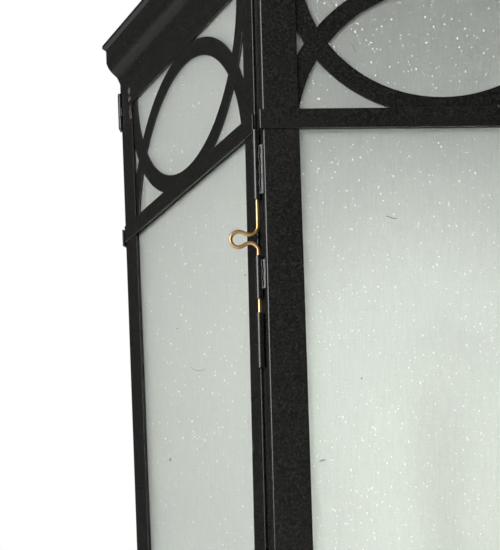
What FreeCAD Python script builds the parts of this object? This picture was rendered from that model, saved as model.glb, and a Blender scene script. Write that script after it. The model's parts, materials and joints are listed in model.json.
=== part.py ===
import FreeCAD, Part
import math
import os

# Post top lantern: a hexagonal glazed body that narrows downwards, with a
# crown moulding, a hipped roof, a vent, and a cup that slips over a post.
# Millimetres, +Z up, origin on the axis at the lower end of the post cup.
#
# Each face of the body is drawn flat first: u runs across the face, v runs up
# it from the lower edge of the band, and a depth d runs inwards from the outer
# surface of the stiles. The distance a runs along a face from its corner.
# Face 0 looks along -Y, and the faces are numbered turning about +Z.

V = FreeCAD.Vector

# Body
SIDES = 6
SIDE = 229.0
LEAN = 4.232
BAND_Z = 490.0
SILL_V = -340.0
HEAD_V = 107.0
TOP_V = 123.4
DOOR_FACE = 5
FIXED_FACES = (0, 1, 2, 3, 4)

# Strips and sheet
SHEET = 1.6
DOOR_SHEET = 1.2
STILE_EDGE = 1.9
STILE_INNER = 25.0
DOOR_EDGE = 6.4
DOOR_STILE_FAR = 24.6
DOOR_STILE_NEAR = 20.8
SILL_RAIL = 18.0
STRIP = 12.7
STRAP_SHEET = 1.7
STRAP_END = 0.1
ANGLE_LEG = 11.0
RING_BAR = 14.0
DOOR_GAP = 1.5

# Tracery: an arch pair is half span, rise, and the heights of its two centres
FIXED_ARCHES = (97.2, 101.8, 0.2, 116.3)
DOOR_ARCHES = (93.9, 101.4, 0.5, 113.3)
TRACERY_LOW = 0.3
TRACERY_TOP = 108.8
BACKING_OUTER = 16.0
BACKING_INNER = 23.9
DOOR_BACKING_NEAR = 20.2
LENS_TRIM = 0.3

# Glazing
PANE = 3.0
PANE_EDGE = 16.3
PANE_TOP_V = 108.4
UPPER_PANE_V = 8.0
LOWER_PANE_V = 5.0
BACKING_FOOT_V = -325.0
RETAINER_FOOT_A = 11.5
RETAINER_RISE_A = 14.3
RETAINER_KNEE_A = 15.5
RETAINER_LIP_A = 21.0
RETAINER_SHEET = 1.2
RETAINER_GAP = 0.2
RETAINER_SET = 1.5

# Latch and hinges
PIN_A = 3.9
PIN_OUT = 0.8
WIRE_R = 1.2
BORE_R = 1.28
TUBE_R = 2.2
TUBE_ONE = (-45.5, 0.3)
TUBE_TWO = (-109.1, -81.8)
KEEPER = (-152.1, -118.0)
TUBE_ONE_WELD = (-42.2, -10.1)
TUBE_TWO_WELD = (-103.0, -84.8)
KEEPER_WELD = (-148.0, -122.0)
PIN_TOP_V = -26.0
PIN_FOOT_V = -131.0
LOOP_V = -70.6
LOOP_NECK_R = 5.2
LOOP_NECK_HALF = 2.75
LOOP_BULB_R = 5.0
LOOP_TIP_OUT = 17.0
HINGE_V = (-290.0, 107.5)
HINGE_OUT = 0.35
HINGE_R = 1.9
HINGE_BORE_R = 1.18
HINGE_WIRE_R = 1.1
HINGE_KNUCKLE = 9.0
HINGE_SPACE = 0.4
HINGE_WELD_SET = 1.0
HINGE_PIN_SPARE = 2.0
HINGE_HEAD_R = 1.8
HINGE_HEAD_T = 1.5

# Cornice: distance out from the stile plane, height above the band's edge
CORNICE_FOOT = 124.0
CORNICE_LIP = 166.4
CORNICE_SHEET = 2.0
CORNICE_FLANGE = 16.0
CORNICE_TOP_FLANGE = 22.0
NECK_OUT = -1.3
NECK_TOP = 133.0
COVE_MID_OUT = 0.6
COVE_MID_Z = 138.6
COVE_TOP_OUT = 3.9
COVE_TOP_Z = 142.8
OVOLO_MID_OUT = 6.1
OVOLO_MID_Z = 146.6
FASCIA_OUT = 7.5
FASCIA_Z = 151.0
FASCIA_TOP_Z = 162.4
LIP_OUT = 10.0
LIP_Z = 163.8

# Roof, vent and finial
ROOF_SHEET = 1.6
ROOF_EAVE_R = 214.0
ROOF_FLANGE = 12.0
ROOF_TOP_R = 56.0
ROOF_RISE = 112.0
RIB_WIDTH = 12.0
RIB_RISE = 2.0
RIB_SINK = 4.0
RIB_FOOT_R = 191.0
RIB_HEAD_R = 60.0
COLLAR_R = 52.0
COLLAR_SHEET = 2.0
COLLAR_RISE = 46.0
SLOT_LENGTH = 34.0
SLOT_RISE = 5.0
SLOT_PITCH = 11.0
SLOT_COUNT = 3
CAP_EAVE_R = 74.0
CAP_TOP_R = 12.0
CAP_RISE = 36.0
CAP_DROP = 8.0
CAP_SHEET = 2.0
FINIAL_FOOT_R = 17.0
FINIAL_BALL_R = 15.0
FINIAL_NECK_R = 5.5
FINIAL_TIP_R = 4.0
EAVE_SCREW_R = 209.0
M4_R = 2.0
M4_HOLE_R = 2.35
M4_HEAD_R = 3.9
M4_HEAD_T = 2.4
M4_LENGTH = 9.0

# Base and post cup
BASE_SHEET = 3.0
PAN_SHEET = 2.0
PAN_TOP_R = 158.0
PAN_FOOT_R = 44.0
PAN_FLANGE = 10.0
PAN_FOOT_Z = 98.0
CUP_R = 42.5
CUP_BORE_R = 38.6
CUP_DEPTH = 76.0
CUP_TOP_Z = 90.0
CUP_RECESS_R = 24.0
CUP_WEB_Z = 88.0
CUP_FLANGE_R = 55.0
CUP_FLANGE_T = 8.0
CUP_BEAD_R = 46.5
CUP_BEAD_T = 9.0
SCREW_Z = 26.0
SCREW_COUNT = 3
SCREW_R = 3.0
SCREW_HOLE_R = 3.3
SCREW_HEAD_R = 7.0
SCREW_HEAD_T = 6.0
SCREW_NECK = 5.0

# Lamp cluster
NIPPLE_R = 5.0
NIPPLE_BORE_R = 3.4
NIPPLE_HOLE_R = 5.4
NIPPLE_FOOT_Z = 79.0
NIPPLE_TOP_Z = 176.0
NUT_R = 9.5
NUT_T = 6.0
WASHER_R = 14.0
WASHER_T = 1.6
HUB_R = 15.0
HUB_FOOT_Z = 162.0
HUB_TOP_Z = 190.0
HUB_ROOM_R = 11.0
HUB_ROOM_LOW = 177.0
HUB_ROOM_TOP = 187.0
ARM_COUNT = 3
ARM_R = 4.0
ARM_BORE_R = 2.8
ARM_Z = 182.0
ARM_REACH = 62.0
ARM_BEND = 14.0
ARM_TOP_Z = 212.0
DISH_R = 19.0
DISH_SHEET = 1.6
DISH_RISE = 5.0
SLEEVE_R = 11.0
SLEEVE_WALL = 1.1
SLEEVE_FOOT_Z = 213.8
SLEEVE_TOP_Z = 318.0
HOLDER_R = 9.4
HOLDER_FOOT_Z = 262.0
HOLDER_TOP_Z = 317.0
HOLDER_BORE_R = 6.9
HOLDER_WEB = 8.0
STUD_R = 3.9
STUD_BORE_R = 2.8
BULB_BASE_R = 6.6
BULB_BASE_Z = 292.0
BULB_COLLAR_R = 8.5
BULB_R = 17.0
BULB_BELLY = 42.0
BULB_HEIGHT = 84.0
LEAD_R = 1.1
LEAD_SPREAD = 1.85
LEAD_FOOT_Z = 80.0
LEAD_TOP_Z = 268.0

# Derived
SIN_LEAN = math.sin(math.radians(LEAN))
COS_LEAN = math.cos(math.radians(LEAN))
TAN_LEAN = math.tan(math.radians(LEAN))
TAN_30 = math.tan(math.radians(30.0))
COS_30 = math.cos(math.radians(30.0))
APOTHEM = SIDE / 2.0 / TAN_30
EDGE_RATE = TAN_30 * SIN_LEAN
MITRE_RATE = TAN_30 * COS_LEAN
BASE_Z = BAND_Z + SILL_V * COS_LEAN
ROOF_Z = BAND_Z + CORNICE_LIP
FAR = 400.0


# --- drawing on a face -----------------------------------------------------

def half_width(v):
    """Half the width of a face at height v, from its centre line to the corner."""
    return SIDE / 2.0 + EDGE_RATE * v


def stand_up(shape, face):
    """Turn a shape drawn flat on a face to its place on the body."""
    placed = shape.copy()
    placed.rotate(V(0, 0, 0), V(1, 0, 0), 90.0 + LEAN)
    placed.translate(V(0, -APOTHEM, BAND_Z))
    placed.rotate(V(0, 0, 0), V(0, 0, 1), 360.0 / SIDES * face)
    return placed


def on_faces(shape, faces):
    """Copies of one flat shape on several faces."""
    return [stand_up(shape, face) for face in faces]


def sheet(points, depth_out, depth_in):
    """A flat plate with the outline (u, v), between two depths."""
    ring = [V(u, v, -depth_in) for u, v in points]
    ring.append(ring[0])
    return Part.Face(Part.makePolygon(ring)).extrude(V(0, 0, depth_in - depth_out))


def trapezoid(low, high, left, right):
    """Outline across a face from v = low to high, set in from each corner."""
    bottom = [(left - half_width(low), low), (half_width(low) - right, low)]
    return bottom + [(half_width(high) - right, high), (left - half_width(high), high)]


def edge_bar(section, low, high, side):
    """A bar along a corner; its section is a list of (a, d) points."""
    wires = []
    for v in (low, high):
        ring = [V(side * (half_width(v) - a), v, -d) for a, d in section]
        ring.append(ring[0])
        wires.append(Part.makePolygon(ring))
    return Part.makeLoft(wires, True, True)


def edge_point(a, depth, v, side):
    """A point near a corner of a face, in the face's flat coordinates."""
    return V(side * (half_width(v) - a), v, -depth)


def edge_rod(radius, low, high, side):
    """A round rod on a pin line: the latch's at side 1, the hinges' at side -1."""
    out = PIN_OUT if side > 0 else HINGE_OUT
    start = edge_point(PIN_A, -out, low, side)
    finish = edge_point(PIN_A, -out, high, side)
    way = finish - start
    return Part.makeCylinder(radius, way.Length, start, way)


# --- plan shapes -----------------------------------------------------------

def plan_ring(radius, count, offset):
    """Points evenly round the axis."""
    points = []
    for index in range(count):
        angle = math.radians(360.0 / count * index + offset)
        points.append(V(radius * math.cos(angle), radius * math.sin(angle), 0))
    return points


def hexagon(apothem, low, high):
    """A hexagonal prism whose flat sides face the numbered faces."""
    ring = plan_ring(apothem / COS_30, SIDES, 0.0)
    ring.append(ring[0])
    block = Part.Face(Part.makePolygon(ring)).extrude(V(0, 0, high - low))
    block.translate(V(0, 0, low))
    return block


def wedge():
    """The sixth of space in front of face 0, between two mitre planes."""
    ring = [V(0, 0, -FAR), V(-FAR * TAN_30, -FAR, -FAR), V(FAR * TAN_30, -FAR, -FAR)]
    ring.append(ring[0])
    return Part.Face(Part.makePolygon(ring)).extrude(V(0, 0, 4.0 * FAR))


def around(shape, count, offset=0.0):
    """Copies of a shape turned evenly round the axis."""
    copies = []
    for index in range(count):
        turned = shape.copy()
        turned.rotate(V(0, 0, 0), V(0, 0, 1), 360.0 / count * index + offset)
        copies.append(turned)
    return copies


def mitred(profile):
    """Six mitred lengths of one section, a list of (distance out, z)."""
    ring = [V(-FAR, -out, z) for out, z in profile]
    ring.append(ring[0])
    length = Part.Face(Part.makePolygon(ring)).extrude(V(2.0 * FAR, 0, 0))
    return around(length.common(wedge()), SIDES)


def turned(profile):
    """A solid of revolution from (radius, z) points."""
    ring = [V(r, 0, z) for r, z in profile]
    ring.append(ring[0])
    return Part.Face(Part.makePolygon(ring)).revolve(V(0, 0, 0), V(0, 0, 1), 360.0)


def rod(radius, x, y, low, high):
    """An upright round rod."""
    return Part.makeCylinder(radius, high - low, V(x, y, low))


def nut(low):
    """A hexagonal nut on the axis, open for the pipe."""
    return hexagon(NUT_R, low, low + NUT_T).cut(rod(NIPPLE_HOLE_R, 0, 0, low, low + NUT_T))


# --- body frame ------------------------------------------------------------

def stiles():
    """Two flat upright strips on each fixed face, outermost of the frame."""
    flat = []
    for side in (-1, 1):
        section = [(STILE_EDGE, 0), (STILE_INNER, 0), (STILE_INNER, SHEET), (STILE_EDGE, SHEET)]
        flat.append(edge_bar(section, SILL_V, TOP_V, side))
    return [bar for strip in flat for bar in on_faces(strip, FIXED_FACES)]


def rail(low, high, thickness):
    """A flat strip across a face, between the stiles."""
    return sheet(trapezoid(low, high, STILE_INNER, STILE_INNER), 0.0, thickness)


def corner_angles():
    """A bent angle inside each corner that backs the stiles."""
    mitre_out = MITRE_RATE * SHEET
    mitre_in = MITRE_RATE * 2.0 * SHEET
    leg = [(mitre_out, SHEET), (ANGLE_LEG, SHEET), (ANGLE_LEG, 2.0 * SHEET), (mitre_in, 2.0 * SHEET)]
    low = SILL_V + RING_BAR + LENS_TRIM
    right = edge_bar(leg, low, HEAD_V + LENS_TRIM, 1)
    left = edge_bar(leg, low, HEAD_V + LENS_TRIM, -1)
    angle = stand_up(right, 0).fuse(stand_up(left, 1)).removeSplitter()
    return around(angle, SIDES)


def ring_bars(low, high):
    """Six mitred flat bars inside the stiles, all at one height."""
    outer_low = half_width(low) - MITRE_RATE * SHEET
    outer_high = half_width(high) - MITRE_RATE * SHEET
    inner_low = half_width(low) - MITRE_RATE * 2.0 * SHEET
    inner_high = half_width(high) - MITRE_RATE * 2.0 * SHEET
    front = [V(-outer_low, low, -SHEET), V(outer_low, low, -SHEET)]
    front += [V(outer_high, high, -SHEET), V(-outer_high, high, -SHEET)]
    back = [V(-inner_low, low, -2.0 * SHEET), V(inner_low, low, -2.0 * SHEET)]
    back += [V(inner_high, high, -2.0 * SHEET), V(-inner_high, high, -2.0 * SHEET)]
    wires = [Part.makePolygon(ring + [ring[0]]) for ring in (front, back)]
    return on_faces(Part.makeLoft(wires, True, True), range(SIDES))


def band_strap(end):
    """The flat band across a face, standing proud of the stiles."""
    return sheet(trapezoid(0.0, STRIP, end, end), -STRAP_SHEET, 0.0)


# --- tracery and glazing ---------------------------------------------------

def oval(span, rise, centre_v, thickness):
    """A filled oval, upright axis longer, standing on a face's centre line."""
    top = V(0, centre_v + rise, 0)
    flank = V(span, centre_v, 0)
    curve = Part.Ellipse(top, flank, V(0, centre_v, 0))
    return Part.Face(Part.Wire(curve.toShape())).extrude(V(0, 0, thickness))


def arch(span, rise, centre_v, keep_low, keep_high, thickness):
    """One half of an oval strip, between two heights."""
    half = STRIP / 2.0
    strip = oval(span + half, rise + half, centre_v, thickness)
    strip = strip.cut(oval(span - half, rise - half, centre_v, thickness))
    keep = Part.makeBox(2.0 * FAR, keep_high - keep_low, thickness, V(-FAR, keep_low, 0))
    return strip.common(keep)


def tracery(arches, thickness, near):
    """Two interlaced arches in one plate, with the margins that hold them."""
    span, rise, low_v, high_v = arches
    margin = trapezoid(TRACERY_LOW, TRACERY_TOP, BACKING_OUTER, BACKING_OUTER)
    opening = trapezoid(STRIP - LENS_TRIM, HEAD_V + LENS_TRIM, BACKING_INNER, near)
    outline = sheet(margin, -thickness, 0.0)
    frame = outline.cut(sheet(opening, -thickness, 0.0))
    low = arch(span, rise, low_v, low_v, FAR, thickness)
    high = arch(span, rise, high_v, -FAR, high_v, thickness)
    plate = frame.fuse(low.common(outline)).fuse(high.common(outline)).removeSplitter()
    plate.translate(V(0, 0, -2.0 * thickness))
    return plate


def backing_strips(thickness, near):
    """Upright strips behind the stiles that the lower pane lies against."""
    strips = []
    for side, inner in ((-1, BACKING_INNER), (1, near)):
        section = [(BACKING_OUTER, thickness), (inner, thickness)]
        section += [(inner, 2.0 * thickness), (BACKING_OUTER, 2.0 * thickness)]
        strips.append(edge_bar(section, BACKING_FOOT_V, 0.0, side))
    return strips


def pane(low, high, thickness):
    """A sheet of glass behind the tracery and the strips."""
    depth = 2.0 * thickness
    return sheet(trapezoid(low, high, PANE_EDGE, PANE_EDGE), depth, depth + PANE)


def retainers(thickness):
    """Z-section strips along both edges that hold the panes in."""
    lip = 2.0 * thickness + PANE + RETAINER_GAP
    section = [(RETAINER_FOOT_A, thickness), (RETAINER_KNEE_A, thickness)]
    section += [(RETAINER_KNEE_A, lip), (RETAINER_LIP_A, lip)]
    section += [(RETAINER_LIP_A, lip + RETAINER_SHEET), (RETAINER_RISE_A, lip + RETAINER_SHEET)]
    section += [(RETAINER_RISE_A, thickness + RETAINER_SHEET)]
    section += [(RETAINER_FOOT_A, thickness + RETAINER_SHEET)]
    low = BACKING_FOOT_V + RETAINER_SET
    high = HEAD_V - RETAINER_SET
    return [edge_bar(section, low, high, side) for side in (-1, 1)]


# --- door ------------------------------------------------------------------

def door_frame():
    """The door's two stiles and two rails, welded as one leaf."""
    low = SILL_V + DOOR_GAP
    leaf = sheet(trapezoid(low, TOP_V, DOOR_EDGE, DOOR_EDGE), 0.0, DOOR_SHEET)
    outline = trapezoid(SILL_V + SILL_RAIL, HEAD_V, DOOR_STILE_FAR, DOOR_STILE_NEAR)
    return stand_up(leaf.cut(sheet(outline, -1.0, DOOR_SHEET + 1.0)), DOOR_FACE)


def frame_weld(low, high, side):
    """Weld from a tube to the corner angle and the edge of the next face's stile."""
    section = [(-0.85, 1.6), (0.4, 2.32), (0.88, 1.55), (3.2, 1.2), (2.15, -0.2), (1.2, 0.75)]
    return edge_bar(section, low, high, side)


def door_weld(low, high, side):
    """Weld from a tube to the edge of the door."""
    section = [(4.6, -1.3), (5.3, -1.0), (6.3, -0.4), (6.4, 0.0), (6.4, 1.1), (4.6, 1.0)]
    return edge_bar(section, low, high, side)


def tube(span, weld, side):
    """A tube on a pin line with its weld, and the bore through it."""
    low, high = span
    outer, bore = (TUBE_R, BORE_R) if side > 0 else (HINGE_R, HINGE_BORE_R)
    body = edge_rod(outer, low, high, side).fuse(weld)
    return body.cut(edge_rod(bore, low - 5.0, high + 5.0, side)).removeSplitter()


def latch_tubes():
    """The two tubes at the near corner that guide the latch pin."""
    pieces = [tube(TUBE_ONE, frame_weld(*TUBE_ONE_WELD, 1), 1)]
    pieces.append(tube(TUBE_TWO, frame_weld(*TUBE_TWO_WELD, 1), 1))
    return [stand_up(piece, DOOR_FACE) for piece in pieces]


def latch_keeper():
    """The tube on the door's edge that takes the latch pin's foot."""
    return stand_up(tube(KEEPER, door_weld(*KEEPER_WELD, 1), 1), DOOR_FACE)


def loop_edges(start, out, up):
    """The finger loop's line: round to the neck, out, round the bulb, and back."""
    rise = LOOP_NECK_HALF + LOOP_NECK_R
    reach = LOOP_TIP_OUT - LOOP_BULB_R - LOOP_NECK_R
    apart = math.hypot(reach, rise)
    slope = math.asin((LOOP_NECK_R + LOOP_BULB_R) / apart) - math.atan2(rise, reach)

    def spot(centre_out, centre_up, radius, angle, half):
        across = centre_out + radius * math.cos(angle)
        along = centre_up + radius * math.sin(angle)
        return start + out * across + up * (half * along)

    def bend(half):
        turn = 1.5 * math.pi + slope
        middle = (math.pi + turn) / 2.0
        return [spot(LOOP_NECK_R, rise, LOOP_NECK_R, angle, half) for angle in (math.pi, middle, turn)]

    bulb_out = LOOP_TIP_OUT - LOOP_BULB_R
    edge_angle = 0.5 * math.pi + slope
    upper = bend(1.0)
    lower = bend(-1.0)
    bulb = [spot(bulb_out, 0.0, LOOP_BULB_R, edge_angle, 1.0), spot(bulb_out, 0.0, LOOP_BULB_R, 0.0, 1.0)]
    bulb.append(spot(bulb_out, 0.0, LOOP_BULB_R, edge_angle, -1.0))
    edges = [Part.Arc(*upper).toShape(), Part.makeLine(upper[2], bulb[0]), Part.Arc(*bulb).toShape()]
    edges += [Part.makeLine(bulb[2], lower[2]), Part.Arc(lower[2], lower[1], lower[0]).toShape()]
    return edges, upper[0], lower[0]


def latch_pin():
    """The wire pin, with a loop bent outwards as a finger pull."""
    start = edge_point(PIN_A, -PIN_OUT, LOOP_V, 1)
    up = edge_point(PIN_A, -PIN_OUT, LOOP_V + 1.0, 1) - start
    up.normalize()
    out = V(-0.5, 0, math.sqrt(0.75))
    out = out - up * out.dot(up)
    out.normalize()
    edges, high, low = loop_edges(start, out, up)
    top = edge_point(PIN_A, -PIN_OUT, PIN_TOP_V, 1)
    foot = edge_point(PIN_A, -PIN_OUT, PIN_FOOT_V, 1)
    path = Part.Wire([Part.makeLine(top, high)] + edges + [Part.makeLine(low, foot)])
    return stand_up(swept(path, WIRE_R, top, -up), DOOR_FACE)


def knuckle_spans(centre):
    """Lower, middle and upper knuckle of one hinge."""
    half = HINGE_KNUCKLE / 2.0
    middle = (centre - half, centre + half)
    lower = (centre - half - HINGE_SPACE - HINGE_KNUCKLE, centre - half - HINGE_SPACE)
    upper = (centre + half + HINGE_SPACE, centre + half + HINGE_SPACE + HINGE_KNUCKLE)
    return lower, middle, upper


def knuckle(span, weld):
    """One hinge knuckle on the far corner, with its weld set in from both ends."""
    low, high = span
    bead = weld(low + HINGE_WELD_SET, high - HINGE_WELD_SET, -1)
    return stand_up(tube(span, bead, -1), DOOR_FACE)


def frame_knuckles():
    """The outer knuckles of each hinge, welded to the body's corner."""
    pieces = []
    for centre in HINGE_V:
        lower, _, upper = knuckle_spans(centre)
        pieces += [knuckle(lower, frame_weld), knuckle(upper, frame_weld)]
    return pieces


def door_knuckles():
    """The middle knuckle of each hinge, welded to the door's edge."""
    return [knuckle(knuckle_spans(centre)[1], door_weld) for centre in HINGE_V]


def hinge_pins():
    """A headed pin through each hinge."""
    pieces = []
    for centre in HINGE_V:
        lower, _, upper = knuckle_spans(centre)
        shank = edge_rod(HINGE_WIRE_R, lower[0] - HINGE_PIN_SPARE, upper[1] + 0.1, -1)
        head = edge_rod(HINGE_HEAD_R, upper[1] + 0.1, upper[1] + 0.1 + HINGE_HEAD_T, -1)
        pieces.append(stand_up(shank.fuse(head), DOOR_FACE))
    return pieces


# --- cornice and roof ------------------------------------------------------

def cornice_point(out, height):
    """A point of the cornice's outer profile, as (distance out, z)."""
    return (APOTHEM + TAN_LEAN * height + out, BAND_Z + height)


def cornice_lengths():
    """Six mitred lengths of formed crown moulding with flanges."""
    outer = [(NECK_OUT, CORNICE_FOOT), (NECK_OUT, NECK_TOP), (COVE_MID_OUT, COVE_MID_Z)]
    outer += [(COVE_TOP_OUT, COVE_TOP_Z), (OVOLO_MID_OUT, OVOLO_MID_Z), (FASCIA_OUT, FASCIA_Z)]
    outer += [(FASCIA_OUT, FASCIA_TOP_Z), (LIP_OUT, LIP_Z), (LIP_OUT, CORNICE_LIP)]
    inner = [(LIP_OUT - CORNICE_TOP_FLANGE, CORNICE_LIP)]
    inner += [(LIP_OUT - CORNICE_TOP_FLANGE, CORNICE_LIP - CORNICE_SHEET)]
    inner += [(FASCIA_OUT - CORNICE_SHEET, CORNICE_LIP - CORNICE_SHEET)]
    inner += [(FASCIA_OUT - CORNICE_SHEET, FASCIA_Z + 0.8)]
    inner += [(COVE_TOP_OUT - CORNICE_SHEET, COVE_TOP_Z + 1.2)]
    inner += [(NECK_OUT - CORNICE_SHEET, NECK_TOP + 1.0)]
    inner += [(NECK_OUT - CORNICE_SHEET, CORNICE_FOOT + CORNICE_SHEET)]
    inner += [(NECK_OUT - CORNICE_FLANGE, CORNICE_FOOT + CORNICE_SHEET)]
    inner += [(NECK_OUT - CORNICE_FLANGE, CORNICE_FOOT)]
    lengths = mitred([cornice_point(out, height) for out, height in outer + inner])
    holes = eave_holes(ROOF_Z - CORNICE_SHEET - 1.0, ROOF_Z + 1.0)
    return [length.cut(hole) for length, hole in zip(lengths, holes)]


def eave_holes(low, high):
    """A screw hole at the middle of each side of the eave."""
    return around(rod(M4_HOLE_R, 0, -EAVE_SCREW_R, low, high), SIDES)


def roof_slope(out):
    """Height of the roof's outer surface at a distance out."""
    run = ROOF_EAVE_R - ROOF_FLANGE - ROOF_TOP_R
    return ROOF_Z + ROOF_SHEET + (ROOF_EAVE_R - ROOF_FLANGE - out) * ROOF_RISE / run


def roof_panels():
    """Six mitred roof sheets, each with a flat flange at the eave."""
    bend = ROOF_EAVE_R - ROOF_FLANGE
    thick = ROOF_SHEET * math.hypot(1.0, ROOF_RISE / (bend - ROOF_TOP_R))
    profile = [(ROOF_EAVE_R, ROOF_Z), (ROOF_EAVE_R, ROOF_Z + ROOF_SHEET)]
    profile += [(bend, ROOF_Z + ROOF_SHEET), (ROOF_TOP_R, roof_slope(ROOF_TOP_R))]
    profile += [(ROOF_TOP_R, roof_slope(ROOF_TOP_R) - thick), (bend, ROOF_Z)]
    panels = mitred(profile)
    holes = eave_holes(ROOF_Z - 1.0, ROOF_Z + ROOF_SHEET + 1.0)
    return [panel.cut(hole) for panel, hole in zip(panels, holes)]


def roof_mass():
    """The solid space under the roof's outer surface."""
    bend = ROOF_EAVE_R - ROOF_FLANGE
    low = plan_ring(bend / COS_30, SIDES, 0.0)
    high = plan_ring(ROOF_TOP_R / COS_30, SIDES, 0.0)
    low = [point + V(0, 0, ROOF_Z + ROOF_SHEET) for point in low]
    high = [point + V(0, 0, roof_slope(ROOF_TOP_R)) for point in high]
    wires = [Part.makePolygon(ring + [ring[0]]) for ring in (low, high)]
    return Part.makeLoft(wires, True, True)


def hip_ribs():
    """A folded strip over each hip of the roof."""
    foot = V(RIB_FOOT_R / COS_30, 0, roof_slope(RIB_FOOT_R))
    head = V(RIB_HEAD_R / COS_30, 0, roof_slope(RIB_HEAD_R))
    way = head - foot
    block = Part.makeBox(way.Length, RIB_WIDTH, RIB_RISE + RIB_SINK)
    block.translate(V(0, -RIB_WIDTH / 2.0, -RIB_SINK))
    block.rotate(V(0, 0, 0), V(0, 1, 0), 180.0 + math.degrees(math.atan2(way.z, -way.x)))
    block.rotate(V(0, 0, 0), way, 180.0)
    block.translate(foot)
    return around(block.cut(roof_mass()), SIDES)


def vent_collar():
    """Six slotted plates that make the vent under the cap."""
    low = roof_slope(COLLAR_R + COLLAR_SHEET) - 2.0
    foot = roof_slope(ROOF_TOP_R)
    profile = [(COLLAR_R, low), (COLLAR_R + COLLAR_SHEET, low)]
    profile += [(COLLAR_R + COLLAR_SHEET, foot + COLLAR_RISE), (COLLAR_R, foot + COLLAR_RISE)]
    plates = mitred(profile)
    slots = Part.makeBox(SLOT_LENGTH, 4.0 * COLLAR_SHEET, SLOT_RISE)
    slots.translate(V(-SLOT_LENGTH / 2.0, -COLLAR_R - 2.5 * COLLAR_SHEET, foot + SLOT_PITCH))
    row = slots
    for index in range(1, SLOT_COUNT):
        step = slots.copy()
        step.translate(V(0, 0, SLOT_PITCH * index))
        row = row.fuse(step)
    return [plate.cut(cut) for plate, cut in zip(plates, around(row, SIDES))]


def vent_cap():
    """The little roof on the vent: six sheets with a turned-down edge."""
    foot = roof_slope(ROOF_TOP_R) + COLLAR_RISE
    slope = CAP_RISE / (CAP_EAVE_R - CAP_TOP_R)
    edge = foot - (CAP_EAVE_R - COLLAR_R - COLLAR_SHEET) * slope
    profile = [(CAP_EAVE_R, edge - CAP_DROP), (CAP_EAVE_R, edge + CAP_SHEET)]
    profile += [(CAP_TOP_R, edge + CAP_SHEET + CAP_RISE), (CAP_TOP_R - 6.0, edge + CAP_SHEET + CAP_RISE)]
    profile += [(CAP_TOP_R - 6.0, edge + CAP_RISE), (CAP_TOP_R, edge + CAP_RISE)]
    profile += [(CAP_EAVE_R - CAP_SHEET, edge + CAP_SHEET * slope)]
    profile += [(CAP_EAVE_R - CAP_SHEET, edge - CAP_DROP)]
    return mitred(profile)


def finial():
    """The turned finial on the cap."""
    foot = roof_slope(ROOF_TOP_R) + COLLAR_RISE + CAP_SHEET
    foot += CAP_RISE - (CAP_EAVE_R - COLLAR_R - COLLAR_SHEET) * CAP_RISE / (CAP_EAVE_R - CAP_TOP_R)
    stem = turned([(0, foot), (FINIAL_FOOT_R - 6.0, foot), (FINIAL_FOOT_R - 5.5, foot + 4.0),
                   (FINIAL_NECK_R + 2.0, foot + 7.0), (FINIAL_NECK_R, foot + 12.0),
                   (FINIAL_NECK_R, foot + 20.0), (0, foot + 20.0)])
    ball = Part.makeSphere(FINIAL_BALL_R, V(0, 0, foot + 18.0 + FINIAL_BALL_R))
    top = foot + 17.0 + 2.0 * FINIAL_BALL_R
    spike = Part.makeCone(FINIAL_TIP_R, 0.8, 22.0, V(0, 0, top))
    tip = Part.makeSphere(FINIAL_TIP_R - 1.2, V(0, 0, top + 22.0))
    return stem.fuse(ball).fuse(spike).fuse(tip)


def eave_screws():
    """Pan-headed screws through the roof's flange and the cornice's."""
    top = ROOF_Z + ROOF_SHEET
    shank = rod(M4_R, 0, -EAVE_SCREW_R, top - M4_LENGTH, top)
    head = rod(M4_HEAD_R, 0, -EAVE_SCREW_R, top, top + M4_HEAD_T)
    rim = [edge for edge in head.Edges if edge.BoundBox.ZMin > top + M4_HEAD_T - 0.1]
    return around(head.makeFillet(1.2, rim).fuse(shank), SIDES)


# --- base and post cup -----------------------------------------------------

def base_plate():
    """The floor of the lantern, level with the faces."""
    apothem = APOTHEM + TAN_LEAN * (BASE_Z - BAND_Z)
    plate = hexagon(apothem, BASE_Z - BASE_SHEET, BASE_Z)
    plate = plate.cut(rod(NIPPLE_HOLE_R, 0, 0, BASE_Z - 10.0, BASE_Z + 10.0))
    return plate.cut(rod(M4_HOLE_R, 60.0, 0, BASE_Z - 10.0, BASE_Z + 10.0))


def base_pan():
    """Six mitred sheets that draw the base in to the post cup."""
    top = BASE_Z - BASE_SHEET
    slope = (top - PAN_FOOT_Z) / (PAN_TOP_R - PAN_FOOT_R)
    thick = PAN_SHEET * math.hypot(1.0, slope)
    profile = [(PAN_TOP_R + PAN_FLANGE, top - PAN_SHEET), (PAN_TOP_R + PAN_FLANGE, top)]
    profile += [(PAN_TOP_R - 2.0, top), (PAN_FOOT_R, PAN_FOOT_Z + thick)]
    profile += [(PAN_FOOT_R - PAN_FLANGE, PAN_FOOT_Z + thick), (PAN_FOOT_R - PAN_FLANGE, PAN_FOOT_Z)]
    profile += [(PAN_FOOT_R, PAN_FOOT_Z), (PAN_TOP_R, top - PAN_SHEET)]
    return mitred(profile)


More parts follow.
